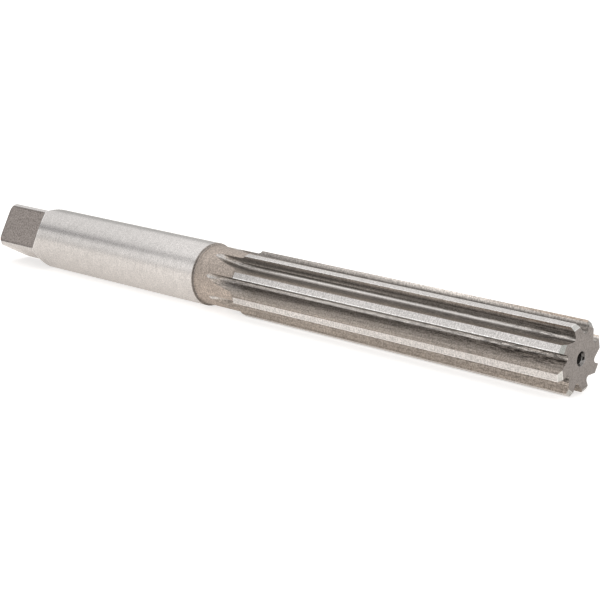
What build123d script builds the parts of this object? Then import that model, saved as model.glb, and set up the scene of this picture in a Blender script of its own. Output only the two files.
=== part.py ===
from build123d import *
from math import asin, atan2, cos, degrees, radians, sin, tan
import os

# A straight-flute hand reamer, made from one bar of high-speed steel.
# It lies along X: the driving square's end face is at x = 0 and the cutting end points to +X.
# Lengths in millimetres, angles in degrees. Angles round the axis run from +Y towards +Z.

# whole tool
overall_length = 248.9
cutting_diameter = 22.225
tooth_count = 8

# driving square, milled on the end of the shank
square_length = 19.6            # from the end to the foot of the shoulder
square_across_flats = 16.2
square_shoulder_angle = 45      # between the shoulder's slope and the axis
square_turn = 8.2               # from the middle of a flat on to a cutting edge
end_round_length = 1.0
end_round_width = 1.7

# shank, and the neck between its step and the teeth
shank_diameter = 21.55
shank_edge_break = 0.2
neck_diameter = 20.15
neck_length = 18.7
neck_fillet = 0.4
tooth_start_length = 1.75       # along the neck, of the curve up to the lands

# teeth
land_length = 126.6             # back from the tip
land_width = 2.4
margin_width = 0.3              # strip behind the cutting edge that stays round
relief_angle = 13
bevel_length = 0.9
bevel_depth = 1.4
bevel_relief_angle = 12

# flutes, milled by a disc cutter that lifts out through the neck
flute_floor = 7.0               # from the axis
flute_floor_radius = 1.1
flute_full_length = 120.4       # back from the tip to where the cutter starts to lift
disc_cutter_radius = 60

# centre holes, one in each end
centre_diameter = 4.5
centre_angle = 60
pilot_diameter = 2.0
pilot_length = 2.6
drill_point_angle = 118

cutting_radius = cutting_diameter / 2
shank_radius = shank_diameter / 2
neck_radius = neck_diameter / 2
land_start = overall_length - land_length
neck_start = land_start - neck_length
tooth_start = land_start - tooth_start_length
lift_start = overall_length - flute_full_length
tooth_pitch = 360 / tooth_count
land_angle = degrees(land_width / cutting_radius)
margin_angle = degrees(margin_width / cutting_radius)
overrun = cutting_radius / 2    # how far a cutting solid runs past the metal


def polar(radius, angle):
    return Vector(radius * cos(radians(angle)), radius * sin(radians(angle)))


# The first tooth is laid out with its cutting edge on +Y and its land behind it, towards -Z.
# The flute ahead of it, towards +Z, ends at the heel of the next tooth's land.

relief_span = land_angle - margin_angle
heel_radius = cutting_radius * cos(radians(relief_angle)) / cos(radians(relief_span - relief_angle))
cutting_edge = polar(cutting_radius, 0)
margin_end = polar(cutting_radius, -margin_angle)
heel = polar(heel_radius, -land_angle)
next_heel = polar(heel_radius, tooth_pitch - land_angle)


def blank():
    """Turned blank: round-edged shank, stepped neck and a plain cylinder for the teeth.

    Its seam is underneath, where the tool lies on the bench.
    """
    step = shank_radius - neck_radius
    fillet_radius = min(neck_fillet, step / 2)
    edge_break = min(shank_edge_break, step / 2)
    end_round = TangentArc(
        (0, shank_radius - end_round_width), (end_round_length, shank_radius), tangent=(0, 1)
    )
    shank = Polyline(
        end_round @ 1,
        (neck_start - edge_break, shank_radius),
        (neck_start, shank_radius - edge_break),
        (neck_start, neck_radius + fillet_radius),
    )
    step_fillet = TangentArc(shank @ 1, (neck_start + fillet_radius, neck_radius), tangent=(0, -1))
    neck = Line(step_fillet @ 1, (tooth_start, neck_radius))
    tooth_slope = TangentArc(neck @ 1, (land_start, cutting_radius), tangent=(1, 0))
    teeth = Polyline(
        tooth_slope @ 1, (overall_length, cutting_radius), (overall_length, 0), (0, 0), end_round @ 0
    )
    outline = end_round + shank + step_fillet + neck + tooth_slope + teeth
    return Rot(-90, 0, 0) * revolve(make_face(outline), Axis.X)


def square_wastes():
    """Metal outside the four flats, each with a sloping shoulder. The corners stay round."""
    flat_height = square_across_flats / 2
    shoulder_run = overrun / tan(radians(square_shoulder_angle))
    outline = Polyline(
        (-overrun, flat_height),
        (square_length, flat_height),
        (square_length + shoulder_run, flat_height + overrun),
        (-overrun, flat_height + overrun),
        close=True,
    )
    waste = extrude(make_face(outline), shank_radius, both=True)
    return [Rot(90 * side - square_turn, 0, 0) * waste for side in range(4)]


def centre_hole():
    """Countersunk and drilled from x = 0, for a lathe or grinding centre."""
    cone_depth = (centre_diameter - pilot_diameter) / 2 / tan(radians(centre_angle / 2))
    pilot_end = cone_depth + pilot_length
    point_length = pilot_diameter / 2 / tan(radians(drill_point_angle / 2))
    outline = Polyline(
        (0, 0),
        (0, centre_diameter / 2),
        (cone_depth, pilot_diameter / 2),
        (pilot_end, pilot_diameter / 2),
        (pilot_end + point_length, 0),
        close=True,
    )
    return revolve(make_face(outline), Axis.X)


def flute_waste():
    """Radial rake face, rounded floor and straight back, carried on along the cutter's arc."""
    floor_centre = Vector(flute_floor + flute_floor_radius, flute_floor_radius)
    to_heel = next_heel - floor_centre
    back_angle = degrees(atan2(to_heel.Y, to_heel.X) - asin(flute_floor_radius / to_heel.length))
    back_foot = floor_centre + polar(flute_floor_radius, back_angle + 90)
    back_top = next_heel + polar(overrun, back_angle)
    rake_top = cutting_edge + polar(overrun, 0)
    outline = Polyline(back_foot, back_top, rake_top, (floor_centre.X, 0))
    outline += CenterArc(floor_centre, flute_floor_radius, 270, back_angle - 180)
    section = Plane.YZ.offset(lift_start) * make_face(outline)
    straight = extrude(section, flute_full_length + overrun)
    cutter_axis = Axis((lift_start, flute_floor + disc_cutter_radius, 0), (0, 0, -1))
    run_out = revolve(section, cutter_axis, 45)
    return straight + run_out


def relief_waste():
    """Metal ground off the land behind its margin."""
    past_heel = margin_end + (heel - margin_end) * 2
    outline = Polyline(
        margin_end,
        past_heel,
        past_heel + polar(overrun, -land_angle),
        margin_end + polar(overrun, 0),
        close=True,
    )
    section = Plane.YZ.offset(tooth_start) * make_face(outline)
    return extrude(section, overall_length - tooth_start + overrun)


def bevel_waste():
    """Metal ground off the corner at the tip, with clearance behind the bevel's cutting edge."""
    along = Vector(bevel_length, -bevel_depth, 0)
    behind = Vector(0, -sin(radians(bevel_relief_angle)), -cos(radians(bevel_relief_angle)))
    corner = Vector(overall_length - bevel_length, cutting_radius, 0)
    facet = Plane(corner, x_dir=along, z_dir=along.cross(behind))
    block = Box(2 * overrun, 3 * land_width, overrun, align=(Align.CENTER, Align.MIN, Align.MIN))
    return facet * Pos(0, -land_width / 2, 0) * block


def lying_turn():
    """Turn about the axis that lays one cutting edge and the next heel on the bench."""
    across_flute = next_heel - cutting_edge
    return -degrees(atan2(across_flute.Y, across_flute.X))


def reamer():
    tooth_wastes = [flute_waste(), relief_waste(), bevel_waste()]
    wastes = square_wastes()
    wastes += [centre_hole(), Pos(overall_length, 0, 0) * mirror(centre_hole(), Plane.YZ)]
    for tooth in range(tooth_count):
        wastes += [Rot(tooth * tooth_pitch, 0, 0) * waste for waste in tooth_wastes]
    return blank() - [Rot(lying_turn(), 0, 0) * waste for waste in wastes]


os.makedirs("parts", exist_ok=True)
export_step(reamer(), "parts/reamer.step")
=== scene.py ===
import bpy
import math
from mathutils import Matrix, Vector


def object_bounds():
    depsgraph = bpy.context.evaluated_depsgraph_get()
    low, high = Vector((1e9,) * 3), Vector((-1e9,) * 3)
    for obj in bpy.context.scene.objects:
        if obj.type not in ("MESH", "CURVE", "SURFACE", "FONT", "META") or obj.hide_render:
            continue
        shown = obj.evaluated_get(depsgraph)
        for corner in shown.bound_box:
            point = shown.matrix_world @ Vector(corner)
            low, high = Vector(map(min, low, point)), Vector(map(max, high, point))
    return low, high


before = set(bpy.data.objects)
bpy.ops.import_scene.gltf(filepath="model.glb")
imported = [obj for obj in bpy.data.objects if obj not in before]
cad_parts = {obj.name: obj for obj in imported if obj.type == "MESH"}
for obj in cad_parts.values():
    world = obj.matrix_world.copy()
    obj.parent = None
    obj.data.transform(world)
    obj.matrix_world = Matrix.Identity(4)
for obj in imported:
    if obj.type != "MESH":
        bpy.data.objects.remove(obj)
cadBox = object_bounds()
scene = bpy.context.scene
scene.view_settings.view_transform = 'Standard'
print("frame loaded, length", round(cadBox[1][0] - cadBox[0][0], 4))


# node helpers: each takes numbers or sockets and gives back a socket

def link(tree, value, socket):
    if isinstance(value, bpy.types.NodeSocket):
        tree.links.new(value, socket)
    else:
        socket.default_value = value


def calc(tree, operation, *values):
    node = tree.nodes.new("ShaderNodeMath")
    node.operation = operation
    for value, socket in zip(values, node.inputs):
        link(tree, value, socket)
    return node.outputs["Value"]


def vectorCalc(tree, operation, *values, output="Vector"):
    node = tree.nodes.new("ShaderNodeVectorMath")
    node.operation = operation
    for value, socket in zip(values, node.inputs):
        link(tree, value, socket)
    return node.outputs[output]


def splitAxes(tree, vector):
    node = tree.nodes.new("ShaderNodeSeparateXYZ")
    link(tree, vector, node.inputs[0])
    return node.outputs


def ramp(tree, value, low, high, before=0.0, after=1.0):     # smooth step between two levels
    node = tree.nodes.new("ShaderNodeMapRange")
    node.interpolation_type = 'SMOOTHSTEP'
    for name, item in (("Value", value), ("From Min", low), ("From Max", high),
                       ("To Min", before), ("To Max", after)):
        link(tree, item, node.inputs[name])
    return node.outputs["Result"]


def between(tree, value, low, high, soft):      # 1 inside low..high, 0 outside
    fromLow = calc(tree, 'SUBTRACT', value, low)
    fromHigh = calc(tree, 'SUBTRACT', value, high)
    return every(tree, ramp(tree, fromLow, -soft, soft), ramp(tree, fromHigh, -soft, soft, 1, 0))


def every(tree, *masks):
    whole = masks[0]
    for mask in masks[1:]:
        whole = calc(tree, 'MULTIPLY', whole, mask)
    return whole


def either(tree, *masks):
    whole = masks[0]
    for mask in masks[1:]:
        whole = calc(tree, 'MAXIMUM', whole, mask)
    return whole


def invert(tree, mask):
    return calc(tree, 'SUBTRACT', 1.0, mask)


def mixColor(tree, factor, first, second, mode='MIX'):
    node = tree.nodes.new("ShaderNodeMix")
    node.data_type = 'RGBA'
    node.blend_type = mode
    link(tree, factor, node.inputs[0])
    link(tree, first, node.inputs[6])
    link(tree, second, node.inputs[7])
    return node.outputs[2]


def mixValue(tree, factor, first, second):
    node = tree.nodes.new("ShaderNodeMix")
    node.data_type = 'FLOAT'
    link(tree, factor, node.inputs[0])
    link(tree, first, node.inputs[2])
    link(tree, second, node.inputs[3])
    return node.outputs[0]


def noise(tree, place, cells, detail, rough):
    node = tree.nodes.new("ShaderNodeTexNoise")
    link(tree, vectorCalc(tree, 'MULTIPLY', place, cells), node.inputs["Vector"])
    node.inputs["Scale"].default_value = 1
    node.inputs["Detail"].default_value = detail
    node.inputs["Roughness"].default_value = rough
    return node.outputs["Fac"]


# camera, matched to the photo

cameraView = {
    "place": (0.48443, -0.38184, 0.12428),
    "aim": (0.14311, -0.00060, -0.00176),
    "roll": 1.084,      # degrees
    "lens": 98.06,
    "sensor": 36,
}


def aimed(place, aim):      # at the place, looking at the aim
    turn = (Vector(place) - Vector(aim)).to_track_quat('Z', 'Y')
    return Matrix.Translation(place) @ turn.to_matrix().to_4x4()


def makeCamera(view):
    data = bpy.data.cameras.new("photoCamera")
    data.lens = view["lens"]
    data.sensor_width = view["sensor"]
    camera = bpy.data.objects.new("photoCamera", data)
    bpy.context.collection.objects.link(camera)
    roll = Matrix.Rotation(math.radians(view["roll"]), 4, 'Z')
    camera.matrix_world = aimed(view["place"], view["aim"]) @ roll
    scene.camera = camera


makeCamera(cameraView)
print("camera set")


# studio: a white tent whose darker and brighter panels the steel mirrors, a pale floor
# and a soft lamp overhead

white = (1, 1, 1, 1)

tent = {
    "upper": (1.0, 0.99, 0.985, 1),
    "lower": (0.73, 0.71, 0.695, 1),
    "lowerBelow": 3,        # degrees above the horizon
    "upperAbove": 24,
    "panels": [             # turn from +X towards +Y, height above the horizon, soft edges, colour
        ((-170, -143.5), (22, 32.9), (6, 3.5), (0.13, 0.13, 0.14, 1)),      # gap, dark on the shank
        ((-136, -100), (7, 29), (4, 4), (1.25, 1.24, 1.23, 1)),             # bright, on the lands
        ((-176, -112), (38, 66), (8, 5), (0.86, 0.855, 0.85, 1)),
        ((-14, 10), (2, 20), (5, 5), (0.42, 0.43, 0.41, 1)),                # past the tip, on bevels
        ((95, 170), (4, 24), (8, 5), (0.48, 0.48, 0.47, 1)),                # behind, on the upper edge
        ((-200, 200), (60, 100), (1, 6), (0.78, 0.775, 0.77, 1)),           # all round, overhead
    ],
}

floorLook = {
    "size": 8,
    "middle": (0.12, 0),
    "color": (0.66, 0.64, 0.62, 1),
    "rough": 0.9,
    "lift": 0.65,           # brings the lit floor up to white for the camera
    "glow": 0.435,          # and, warmer, in the steel's reflections of it
    "glowColor": (1, 0.955, 0.91, 1),
}

lamp = {
    "place": (-0.30, -0.60, 1.5),
    "aim": (0.12, 0, 0),
    "width": 1.5,
    "depth": 1.0,
    "power": 2.5,
}


def makeTent(look):
    world = bpy.data.worlds.new("whiteTent")
    world.use_nodes = True
    scene.world = world
    tree = world.node_tree
    x, y, z = splitAxes(tree, tree.nodes.new("ShaderNodeTexCoord").outputs["Generated"])
    turn = calc(tree, 'DEGREES', calc(tree, 'ARCTAN2', y, x))
    height = calc(tree, 'DEGREES', calc(tree, 'ARCSINE', z))
    upward = ramp(tree, height, look["lowerBelow"], look["upperAbove"])
    cloth = mixColor(tree, upward, look["lower"], look["upper"])
    for turns, heights, soft, color in look["panels"]:
        inside = every(tree, between(tree, turn, *turns, soft[0]),
                       between(tree, height, *heights, soft[1]))
        cloth = mixColor(tree, inside, cloth, color)
    path = tree.nodes.new("ShaderNodeLightPath")
    seen = either(tree, path.outputs["Is Camera Ray"], path.outputs["Is Transmission Ray"])
    link(tree, mixColor(tree, seen, cloth, white), tree.nodes["Background"].inputs["Color"])


def makeFloor(look):
    bpy.ops.mesh.primitive_plane_add(size=look["size"], location=(*look["middle"], cadBox[0][2]))
    floor = bpy.context.object
    floor.name = "paleFloor"
    material = bpy.data.materials.new("paleFloor")
    material.use_nodes = True
    tree = material.node_tree
    paper = tree.nodes["Principled BSDF"]
    paper.inputs["Base Color"].default_value = look["color"]
    paper.inputs["Roughness"].default_value = look["rough"]
    paper.inputs["Specular IOR Level"].default_value = 0
    path = tree.nodes.new("ShaderNodeLightPath")
    seen = path.outputs["Is Camera Ray"]
    link(tree, mixColor(tree, seen, look["glowColor"], white), paper.inputs["Emission Color"])
    mirrored = either(tree, path.outputs["Is Glossy Ray"], path.outputs["Is Transmission Ray"])
    glow = calc(tree, 'MULTIPLY', mirrored, look["glow"])
    link(tree, calc(tree, 'MULTIPLY_ADD', seen, look["lift"], glow), paper.inputs["Emission Strength"])
    floor.data.materials.append(material)


def makeLamp(look):
    data = bpy.data.lights.new("softLamp", 'AREA')
    data.shape = 'RECTANGLE'
    data.size = look["width"]
    data.size_y = look["depth"]
    data.energy = look["power"]
    light = bpy.data.objects.new("softLamp", data)
    bpy.context.collection.objects.link(light)
    light.matrix_world = aimed(look["place"], look["aim"])


makeTent(tent)
makeFloor(floorLook)
makeLamp(lamp)
print("studio lit")


# The reamer's steel. Lengths are in millimetres and turns in degrees, as in the CAD source.

steel = {
    "tool": {
        "perMetre": 1000,
        "firstEdge": 26.2177,   # cutting edge's turn from +Y towards +Z
        "pitch": 45,
        "edgeSpare": 5,         # turn kept on the other side of an edge when counting from it
        "wearAndPaintedLightTurn": (-90, 180), # wear and painted light go round like a wave: turn for each tooth, and at the first
        "flatTurn": 63.018,     # square to one of the driving square's flats
        "flatHalf": 45,
        "flatDepth": 8.1,       # from the axis
        "flatMiddle": 9.0,
        "shoulderFoot": 19.6,
    },

    "finishes": {       # colour and roughness
        "ground": ((0.675, 0.652, 0.635, 1), 0.27),
        "flat": ((0.335, 0.30, 0.28, 1), 0.42),
        "flatPaintedSheen": ((0.92, 0.88, 0.85, 1), 0.42),   # painted sheen on a milled flat seen along its surface
        "neck": ((0.485, 0.424, 0.376, 1), 0.50),
        "step": ((0.29, 0.265, 0.245, 1), 0.50),        # painted shade in the corner under the shank's end
        "milled": ((0.445, 0.39, 0.342, 1), 0.45),      # flute backs, as the cutter left them
        "scaleAndShade": ((0.305, 0.284, 0.266, 1), 0.38),      # darker towards the root and rake face: partly dark scale, partly painted shade
        "edge": ((0.72, 0.67, 0.625, 1), 0.27),         # rake face, whetted by the cutting edge
        "root": ((0.58, 0.56, 0.54, 1), 0.30),          # strip that the wheel touched, with a painted highlight band along it
        "exit": ((0.56, 0.545, 0.53, 1), 0.42),         # where the wheel ran out in the neck, with a painted highlight
        "temper": ((0.36, 0.29, 0.235, 1), 0.35),       # brown heat tint near the tip
        "bevel": ((0.70, 0.70, 0.675, 1), 0.25),
        "end": ((0.315, 0.292, 0.278, 1), 0.48),
        "hole": ((0.40, 0.38, 0.365, 1), 0.15),
        "paintedHoleShade": ((0.03, 0.028, 0.026, 1), 0.40),       # painted shade deep in the hole, standing in for a dark pilot bore
        "glint": ((0.97, 0.96, 0.95, 1), 0.20),         # painted glint on sharp edges
    },

    "coats": [          # area, finish and strength, each over those before it
        ("square", "flat", 1),
        ("flatPaintedSheen", "flatPaintedSheen", 1),
        ("neck", "neck", 1),
        ("step", "step", 1),
        ("flute", "milled", 1),
        ("scaleAndShade", "scaleAndShade", 1),
        ("edge", "edge", 1),
        ("root", "root", 1),
        ("runOut", "exit", 1),
        ("temper", "temper", 0.8),
        ("bevel", "bevel", 1),
        ("tipFace", "end", 1),
        ("hub", "end", 1),
        ("hole", "hole", 1),
        ("paintedHoleShade", "paintedHoleShade", 1),
        ("cuttingEdge", "glint", 1),
        ("bevelEdge", "glint", 0.7),
        ("shoulderEdge", "glint", 0.6),
    ],

    "marks": {          # noise cells per millimetre along, across and up, detail, roughness
        "mottle": ((0.35, 0.35, 0.35), 3, 0.6),
        "speckle": ((2, 2, 2), 2, 0.7),
        "ringMarks": ((3.5, 0.25, 0.25), 4, 0.7),       # round the axis, from grinding
        "streaks": ((0.015, 1.8, 1.8), 3, 0.6),         # lengthwise, from the flute cutter
        "fineStreaks": ((0.12, 4.2, 4.2), 3, 0.75),
        "scratches": ((0.3, 2.6, 2.6), 4, 0.75),
        "blotches": ((0.12, 3.2, 3.2), 3, 0.7),
        "whetting": ((0.5, 1, 1), 2, 0.5),
    },

    # Where each area lies: what is measured, from, to, and the strength before and after. Along
    # is from the square's end, across and up are from the axis, and out is away from it.
    "areas": {
        # shank, square and neck
        "beyondShank": [("along", 103.3, 103.4)],
        "beyondStep": [("along", 103.8, 103.9)],
        "shankTop": [("up", 3, 7)],
        "square": [("along", 22.3, 22.4, 1, 0), ("out", 10.695, 10.745, 1, 0)],
        "flatPaintedSheen": [("grazing", 0.7, 0.95)],
        "endRim": [("along", 0.5, 0.9, 1, 0)],          # painted shade on a flat's rim: by the end, by the round corners and by the shoulder
        "cornerRim": [("out", 10.2, 10.45)],            # by the round corners
        "shoulderRim": [("pastShoulder", -0.6, -0.3)],  # and by the shoulder
        "shoulderEdge": [("pastShoulder", -0.1, 0.1), ("pastShoulder", 0.25, 0.45, 1, 0)],
        "neckSkin": [("outward", 0.955, 0.975), ("out", 9.875, 9.975),
                     ("along", 122.2, 122.4, 1, 0)],

        # lands and tip
        "land": [("along", 122.0, 122.4), ("pastLand", 0, 0.12, 1, 0), ("out", 10.776, 10.816),
                 ("outward", 0.7, 0.8)],
        "landToTip": [("along", 150, 230)],
        "cuttingEdge": [("behindEdge", 0.16, 0.28, 1, 0), ("whetting", 0.35, 0.65, 0.25, 1)],
        "bevel": [("endward", 0.3, 0.4), ("endward", 0.9, 0.95, 1, 0), ("along", 247.9, 248)],
        "bevelFoot": [("along", 247.8, 247.9), ("along", 248.05, 248.15, 1, 0)],
        "bevelTop": [("along", 248.7, 248.8)],
        "bevelEdge": [("fromRake", -0.2, 0.1, 1, 0.6)],
        "tipFace": [("endward", 0.9, 0.95), ("along", 240, 241)],
        "hub": [("out", 2.35, 2.45, 1, 0)],
        "hole": [("out", 2.05, 2.23, 1, 0)],
        "holeTop": [("up", 0, 0.5)],
        "holeMiddle": [("up", -1.0, -0.6), ("up", 0.05, 0.45, 1, 0)],
        "paintedHoleShade": [("holeShadeOut", 1.62, 1.82, 1, 0)],

        # rake faces
        "onRake": [("fromRake", 0.06, 0.12, 1, 0)],
        "farTooth": [("across", 4, 6)],                 # teeth on the side away from the lamp, given a painted highlight on their rake faces
        "notLow": [("up", -7, -4)],                     # the lowest flutes, facing the floor, get less painted shade and stain
        "edge": [("along", 135, 190, 0.4, 1)],
        "edgeFade": [("along", 200, 246, 1, 0.5)],
        "temper": [("along", 200, 240)],
        "rakeBand": [("out", 8.85, 9.35), ("out", 9.5, 10.0, 1, 0), ("along", 125, 150)],
        "rakeLine": [("out", 7.95, 8.25), ("out", 8.45, 8.75, 1, 0), ("along", 112, 118),
                     ("along", 170, 200, 1, 0), ("wearAndPaintedLight", -0.6, -0.2), ("wearAndPaintedLight", 0.2, 0.6, 1, 0)],
        "farRake": [("along", 236, 243)],
        "corner": [("fromRake", 0.1, 0.3, 1, 0), ("out", 8.0, 8.6, 1, 0),    # painted shade at the foot of the face
                   ("along", 130, 190, 1, 0.3), ("wearAndPaintedLight", -1, 1, 0, 2)],
        # painted shade on the rake wall where the flute runs out
        "exitWall": [("along", 120, 180, 1, 0), ("wearAndPaintedLight", -1, 1, 0, 0.4)],

        # roots and backs
        # darker towards the root and rake face, half as much on the lowest flutes: partly dark scale,
        # partly painted shade
        "scaleAndShade": [("fromRake", 1.3, 6.2, 1, 0), ("along", 110, 120), ("up", -7, -4, 0.5, 1)],
        "paintedRootShade": [("alongRootShade", 111, 115)],            # painted shade: a dark line beside the root strip
        "runOut": [("rootSide", 1.2, 1.5, 1, 0), ("along", 111.5, 114.5, 1, 0),
                   ("mottle", 0.3, 0.6, 0.35, 1)],
        "blotched": [("wearAndPaintedLight", -1, -0.5, 1, 0), ("blotches", 0.42, 0.55, 1, 0)],
        "evenRoot": [("along", 118, 130), ("wearAndPaintedLight", -0.6, -0.2), ("wearAndPaintedLight", 0.2, 0.6, 1, 0)],
        "cleanFlute": [("wearAndPaintedLight", -1, -0.5)],
        "scratched": [("along", 180, 248.9, 0.3, 1), ("fromRake", 2.4, 4.2, 1, 0.15)],
        "stainHigh": [("out", 10.3, 10.7, 1, 0)],
        "stainBack": [("fromRake", 1.2, 1.8), ("fromRake", 3.5, 4.1, 1, 0)],
        "stain": [("along", 216, 240), ("wearAndPaintedLight", 0.3, 0.8, 1, 0)],
        "onBack": [("fromRake", 2, 3)],
        "lowBack": [("up", -10, -6, 1, 0)],
        "heelStrip": [("out", 10.776, 10.816)],         # beside the next land
        # painted shade at each tooth's start, under its step
        "lip": [("along", 121.35, 121.65), ("along", 121.75, 122.05, 1, 0), ("out", 10.3, 10.5)],
    },

    # Other limits: one number, or, where it changes along the tool, from, to, before and after.
    "limits": {
        "landWidth": (140, 240, 2.0, 2.28),
        "edgeFrom": (150, 240, 9.9, 9.3),
        "edgeTo": 11.1,
        "temperFrom": 10.45,
        "temperSoft": 0.12,
        "exitWider": (111, 116, 0.3, 0),
        "rootLater": (114, 150, 0.4, 0),    # the root strip starts further from the rake face
        "rootSoft": 0.12,
        "rootFrom": 118,                    # it grows brighter from here
        "rootFade": (218, 244),             # and dims towards the tip
        "blotchFade": (190, 215, 1, 0.35),
        "rootShadeFrom": 1.6,
        "rootShadeTo": (115, 140, 3.2, 2.2),
        "rootShadeSoft": 0.2,
        "holeShadeWider": -0.38,                # the painted shade reaches further across the hole's middle
    },

    "perFlute": {           # limits that differ by flute: change with wear and painted light, and the middle
        "temperTo": (0.2, 10.95),
        "rootStart": (0.2, 0.25),
        "rootEnd": (0.1, 1.42),
        "rootEndLater": (1, 1),
        "rootWhole": (-21, 140),
        "rootFirst": (0.2, 0.4),
        "rootBefore": (0.1, 1),
        "rootAfter": (0.1, 0.25),
        "rootShadeEarlier": (4, 0),
    },

    # How bright an area is: one number, or what is measured, from, to, before and after.
    "shades": [
        ("scratched", "scratches", 0.4, 0.6, 0.3, 1.7),
        ("stain", "fineStreaks", 0.38, 0.62, 0.6, 1.35),
        # painted shade on the rake wall where the flute runs out
        ("exitWall", 0.6),
        # painted shade at the foot of each rake face
        ("corner", 0.55),
        # painted shade at each tooth's start
        ("lip", 0.6),
        # painted shade along each flat's rim
        ("flatRim", 0.8),
        # neck lighter underneath and on top, darker between: painted light and shade
        ("neck", "up", -6, 3, 1.12, 0.91),
        ("neck", "up", 4, 8, 1, 1.12),
        ("root", "wearAndPaintedLight", -1, 1, 0.98, 0.94),
        ("evenRoot", "along", 160, 200, 1.22, 1),
        # the run-out's painted highlight is brighter on the lowest flute
        ("runOut", "up", -6, -4, 1.35, 1),
        # each flute lighter or darker as a whole: painted light
        ("flute", "wearAndPaintedLight", -1, 1, 0.94, 1.17),
        # lands a little lighter on the lower teeth: painted light
        ("land", "up", -3, 2, 1.02, 0.99),
        ("land", "along", 122, 140, 0.92, 1.08),
        # lands darker towards the tip, more on the upper teeth: painted shade
        ("landToTip", "up", -3, 2, 0.965, 0.92),
        # bevels darker on the far side, on the lowest tooth and on the top teeth: painted shade by the
        # way each faces
        ("bevel", "across", -1, 1, 1, 0.65),
        ("bevel", "up", -6, -2, 0.78, 1),
        ("bevel", "up", 5, 8, 1, 0.86),
        # the step's painted shade is lighter on top: painted light
        ("step", "up", 4, 9, 1, 1.4),
        ("rakeBand", "wearAndPaintedLight", -1, 1, 0.78, 0.54),
        ("rakeLine", 1.8),
        # painted highlight on the far teeth's rake faces near the tip
        ("farRake", 1.3),
        ("onBack", "along", 125, 165, 0.9, 1),
        ("onBack", "along", 150, 230, 1, 0.9),
        # painted shade on the backs of the lowest flutes, deeper towards the tip
        ("lowBack", "along", 150, 190, 0.9, 0.82),
        ("heelStrip", 0.8),
        # shank lighter towards the neck, more so on top: painted light
        ("shank", "along", 30, 105, 0.965, 1.045),
        ("shankTop", "along", 70, 100, 1, 1.04),
        # painted shade in the top of the hole
        ("holeTop", 0.65),
        # painted shade beside the root strip, lighter towards the tip
        ("paintedRootShade", "along", 118, 160, 0.62, 0.88),
    ],

    "grain": {          # a noise, from one level to another, darkens and brightens
        "ringMarks": (0.3, 0.7, 0.94, 1.05),
        "streaks": (0.3, 0.7, 0.80, 1.17),
        "mottle": (0.3, 0.7, 0.97, 1.03),
        "bright": (0.25, 0.75, 0.85, 1.12),
        "land": (0.25, 0.75, 0.76, 1.2),
        "dull": (0.25, 0.75, 0.65, 1.31),
        "coarser": (140, 230, 0.05, 0.08),      # added to the dull grain, along the tool
        "coarserOnTip": -0.1,
    },

    "waves": {          # even marks: pace, how far they wander, and depth
        "crossMarks": (7.2, 9, 0.035),          # chatter across the lands
        "swirl": (5.2, 4, 0.06),                # rings on the flats
    },

    "relief": {
        "depth": 0.000004,                      # metres
        "speckle": (0, 1, 2.5, 0.5),            # from dull steel to bright
    },
}


def perFlute(tree, at, name):       # a limit of this flute
    return calc(tree, 'MULTIPLY_ADD', at["wearAndPaintedLight"], *steel["perFlute"][name])


def limit(tree, at, name):      # a limit at this place along the tool
    return ramp(tree, at["along"], *steel["limits"][name])


def wrapped(tree, turn, span):      # brings a turn into one span that starts just before zero
    spare = steel["tool"]["edgeSpare"]
    shifted = calc(tree, 'FLOORED_MODULO', calc(tree, 'ADD', turn, spare), span)
    return calc(tree, 'SUBTRACT', shifted, spare)


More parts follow.
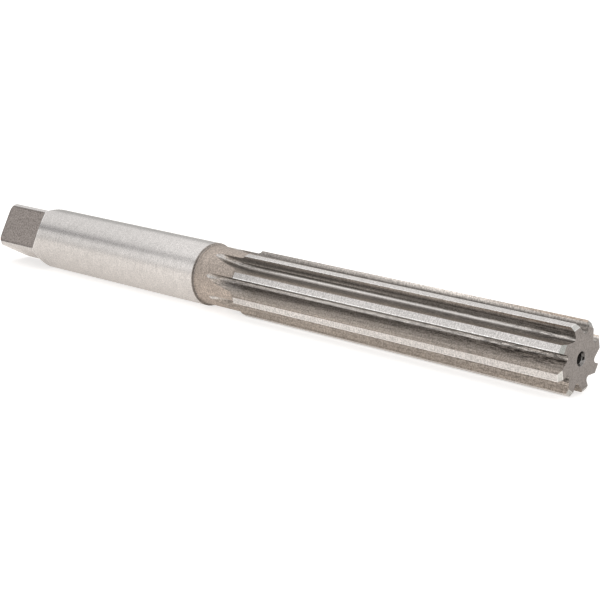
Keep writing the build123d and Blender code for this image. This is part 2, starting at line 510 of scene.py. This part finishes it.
def measureTool(tree):      # where a point of the surface lies on the tool, and how it faces
    tool = steel["tool"]
    metres = tree.nodes.new("ShaderNodeTexCoord").outputs["Object"]
    place = vectorCalc(tree, 'MULTIPLY', metres, [tool["perMetre"]] * 3)
    along, across, up = splitAxes(tree, place)
    radial = vectorCalc(tree, 'MULTIPLY', place, (0, 1, 1))
    out = vectorCalc(tree, 'LENGTH', radial, output="Value")
    turn = calc(tree, 'DEGREES', calc(tree, 'ARCTAN2', up, across))
    at = {"along": along, "across": across, "up": up, "out": out}
    for name, settings in steel["marks"].items():
        at[name] = noise(tree, place, *settings)

    # ahead of each cutting edge lies its flute, and behind it its land
    pastEdge = calc(tree, 'SUBTRACT', turn, tool["firstEdge"])
    ahead = calc(tree, 'RADIANS', wrapped(tree, pastEdge, tool["pitch"]))
    at["fromRake"] = calc(tree, 'MULTIPLY', out, calc(tree, 'SINE', ahead))
    at["rootSide"] = calc(tree, 'SUBTRACT', at["fromRake"], limit(tree, at, "exitWider"))
    behind = wrapped(tree, calc(tree, 'SUBTRACT', tool["firstEdge"], turn), tool["pitch"])
    at["behindEdge"] = calc(tree, 'MULTIPLY', calc(tree, 'RADIANS', behind), out)
    at["pastLand"] = calc(tree, 'SUBTRACT', at["behindEdge"], limit(tree, at, "landWidth"))

    # each flute has its own wear and painted light: -1, 0 or 1
    around = calc(tree, 'FLOORED_MODULO', calc(tree, 'ADD', pastEdge, tool["edgeSpare"]), 360)
    tooth = calc(tree, 'FLOOR', calc(tree, 'DIVIDE', around, tool["pitch"]))
    wearAndPaintedLightTurn = calc(tree, 'MULTIPLY_ADD', tooth, *map(math.radians, tool["wearAndPaintedLightTurn"]))
    at["wearAndPaintedLight"] = calc(tree, 'SINE', wearAndPaintedLightTurn)
    at["alongRootShade"] = calc(tree, 'ADD', along, perFlute(tree, at, "rootShadeEarlier"))

    # on the driving square: past its sloping shoulders, and from the middle of a flat
    flatSide = calc(tree, 'SUBTRACT', turn, tool["flatTurn"] - 360)
    flatSide = calc(tree, 'RADIANS', calc(tree, 'PINGPONG', flatSide, tool["flatHalf"]))
    aboveFlat = calc(tree, 'MULTIPLY', out, calc(tree, 'COSINE', flatSide))
    at["pastShoulder"] = calc(tree, 'SUBTRACT', calc(tree, 'SUBTRACT', along, aboveFlat),
                              tool["shoulderFoot"] - tool["flatDepth"])
    flatRun = calc(tree, 'SUBTRACT', along, tool["flatMiddle"])
    flatWidth = calc(tree, 'MULTIPLY_ADD', out, out, -tool["flatDepth"] ** 2)    # squared
    fromMiddle = calc(tree, 'MULTIPLY_ADD', flatRun, flatRun, flatWidth)
    at["fromFlatMiddle"] = calc(tree, 'SQRT', fromMiddle)

    facing = tree.nodes.new("ShaderNodeNewGeometry").outputs["True Normal"]
    straightOut = vectorCalc(tree, 'NORMALIZE', radial)
    at["endward"] = splitAxes(tree, facing)["X"]
    at["outward"] = vectorCalc(tree, 'DOT_PRODUCT', facing, straightOut, output="Value")
    at["grazing"] = tree.nodes.new("ShaderNodeLayerWeight").outputs["Facing"]
    return at


def findAreas(tree, at):
    areas = {}
    limits = steel["limits"]

    def area(name, *others):        # where its own limits and the other masks all hold
        steps = [ramp(tree, at[measure], *levels) for measure, *levels in steel["areas"][name]]
        areas[name] = every(tree, *others, *steps)
        return areas[name]

    # shank, square and neck
    beyondShank = area("beyondShank")
    beforeNeck = invert(tree, area("beyondStep"))
    square = area("square")
    areas["shank"] = invert(tree, either(tree, beyondShank, square))
    areas["step"] = every(tree, beyondShank, beforeNeck)
    areas["neck"] = every(tree, beyondShank, either(tree, area("neckSkin"), beforeNeck))
    area("shankTop", areas["shank"])
    area("flatPaintedSheen", square)
    rims = either(tree, area("endRim"), area("cornerRim"), area("shoulderRim"))
    areas["flatRim"] = every(tree, square, rims)
    area("shoulderEdge", invert(tree, square))

    # lands and tip
    land = area("land")
    area("landToTip", land)
    area("cuttingEdge", land)
    bevelEnds = either(tree, area("bevelFoot"), area("bevelTop"))
    area("bevelEdge", either(tree, land, area("bevel")), bevelEnds)
    area("hub")
    area("hole", invert(tree, area("tipFace")))
    area("holeTop", areas["hole"])
    at["holeShadeOut"] = calc(tree, 'MULTIPLY_ADD', area("holeMiddle"), limits["holeShadeWider"], at["out"])
    area("paintedHoleShade", areas["hole"])

    # rake faces
    others = [invert(tree, areas[name]) for name in ("neck", "land", "tipFace", "bevel")]
    flute = every(tree, areas["beyondStep"], *others)
    areas["flute"] = flute
    onRake = every(tree, flute, area("onRake"))
    offRake = every(tree, flute, invert(tree, areas["onRake"]))
    farTooth = area("farTooth")
    notLow = area("notLow")
    edgeFrom = calc(tree, 'SUBTRACT', limit(tree, at, "edgeFrom"), farTooth)
    area("edge", onRake, ramp(tree, at["out"], edgeFrom, limits["edgeTo"]),
         either(tree, farTooth, area("edgeFade")))
    area("temper", onRake, between(tree, at["out"], limits["temperFrom"],
                                   perFlute(tree, at, "temperTo"), limits["temperSoft"]))
    area("rakeBand", onRake)
    area("rakeLine", onRake)
    area("farRake", onRake, farTooth)
    area("corner", flute, notLow)

    # bright strip along each flute's root: ground brighter by the wheel, with a painted highlight band
    later = limit(tree, at, "rootLater")
    start = calc(tree, 'ADD', perFlute(tree, at, "rootStart"), later)
    end = calc(tree, 'MULTIPLY_ADD', later, perFlute(tree, at, "rootEndLater"),
               perFlute(tree, at, "rootEnd"))
    strip = every(tree, flute, between(tree, at["fromRake"], start, end, limits["rootSoft"]))
    fade = ramp(tree, at["along"], *limits["rootFade"], perFlute(tree, at, "rootBefore"),
                perFlute(tree, at, "rootAfter"))
    growth = ramp(tree, at["along"], limits["rootFrom"], perFlute(tree, at, "rootWhole"),
                  perFlute(tree, at, "rootFirst"), 1)
    blotches = mixValue(tree, area("blotched"), 1, limit(tree, at, "blotchFade"))
    areas["root"] = every(tree, strip, fade, growth, blotches)
    area("evenRoot", areas["root"])
    area("exitWall", onRake, invert(tree, strip))

    # backs
    area("paintedRootShade", flute, notLow, between(tree, at["fromRake"], limits["rootShadeFrom"],
                                         limit(tree, at, "rootShadeTo"), limits["rootShadeSoft"]))
    for name in ("scaleAndShade", "runOut", "lip", "onBack"):
        area(name, flute)
    area("lowBack", areas["onBack"])
    area("heelStrip", offRake)
    area("scratched", offRake, invert(tree, every(tree, areas["root"], area("cleanFlute"))))
    rakeStain = every(tree, areas["onRake"], area("stainHigh"))
    area("stain", flute, either(tree, rakeStain, area("stainBack")), invert(tree, farTooth), notLow)
    areas["bright"] = either(tree, areas["root"], areas["shank"], land, areas["bevel"])
    return areas


def wave(tree, at, measure, name, mask):
    pace, wander, depth = steel["waves"][name]
    wandering = calc(tree, 'MULTIPLY', at["mottle"], wander)
    marks = calc(tree, 'SINE', calc(tree, 'MULTIPLY_ADD', at[measure], pace, wandering))
    return every(tree, marks, mask, depth)


def shadeSteel(tree, at, areas):        # brightness over the finishes' own colours
    grain = steel["grain"]
    shade = mixValue(tree, areas["flute"], ramp(tree, at["ringMarks"], *grain["ringMarks"]),
                     ramp(tree, at["streaks"], *grain["streaks"]))
    for name, *levels in steel["shades"]:
        factor = levels[0] if len(levels) == 1 else ramp(tree, at[levels[0]], *levels[1:])
        shade = calc(tree, 'MULTIPLY', shade, mixValue(tree, areas[name], 1, factor))
    shade = calc(tree, 'ADD', shade, wave(tree, at, "along", "crossMarks", areas["land"]))
    coarser = mixValue(tree, areas["tipFace"], ramp(tree, at["along"], *grain["coarser"]),
                       grain["coarserOnTip"])
    low, high, dark, light = grain["dull"]
    speckle = ramp(tree, at["speckle"], low, high, calc(tree, 'SUBTRACT', dark, coarser),
                   calc(tree, 'ADD', light, coarser))
    for name in ("bright", "land"):
        finer = ramp(tree, at["speckle"], *grain[name])
        speckle = mixValue(tree, areas[name], speckle, finer)
    shade = every(tree, shade, speckle, ramp(tree, at["mottle"], *grain["mottle"]))
    return calc(tree, 'ADD', shade, wave(tree, at, "fromFlatMiddle", "swirl", areas["square"]))


def makeSteel():
    material = bpy.data.materials.new("groundToolSteel")
    material.use_nodes = True
    tree = material.node_tree
    surface = tree.nodes["Principled BSDF"]
    surface.inputs["Metallic"].default_value = 1
    at = measureTool(tree)
    areas = findAreas(tree, at)

    finishes = steel["finishes"]
    color, rough = finishes["ground"]
    for name, finish, strength in steel["coats"]:
        mask = areas[name] if strength == 1 else every(tree, areas[name], strength)
        color = mixColor(tree, mask, color, finishes[finish][0])
        rough = mixValue(tree, mask, rough, finishes[finish][1])
    grey = tree.nodes.new("ShaderNodeCombineColor")
    shade = shadeSteel(tree, at, areas)
    for socket in grey.inputs:
        link(tree, shade, socket)
    color = mixColor(tree, 1, color, grey.outputs[0], 'MULTIPLY')
    link(tree, color, surface.inputs["Base Color"])
    link(tree, rough, surface.inputs["Roughness"])

    relief = steel["relief"]
    speckleHeight = ramp(tree, areas["bright"], *relief["speckle"])
    height = calc(tree, 'MULTIPLY_ADD', at["speckle"], speckleHeight,
                  mixValue(tree, areas["flute"], at["ringMarks"], at["streaks"]))
    bump = tree.nodes.new("ShaderNodeBump")
    bump.inputs["Distance"].default_value = relief["depth"]
    link(tree, height, bump.inputs["Height"])
    link(tree, bump.outputs["Normal"], surface.inputs["Normal"])
    return material


reamer = bpy.data.objects["reamer"]
reamer.material_slots[0].material = makeSteel()
print("steel dressed")
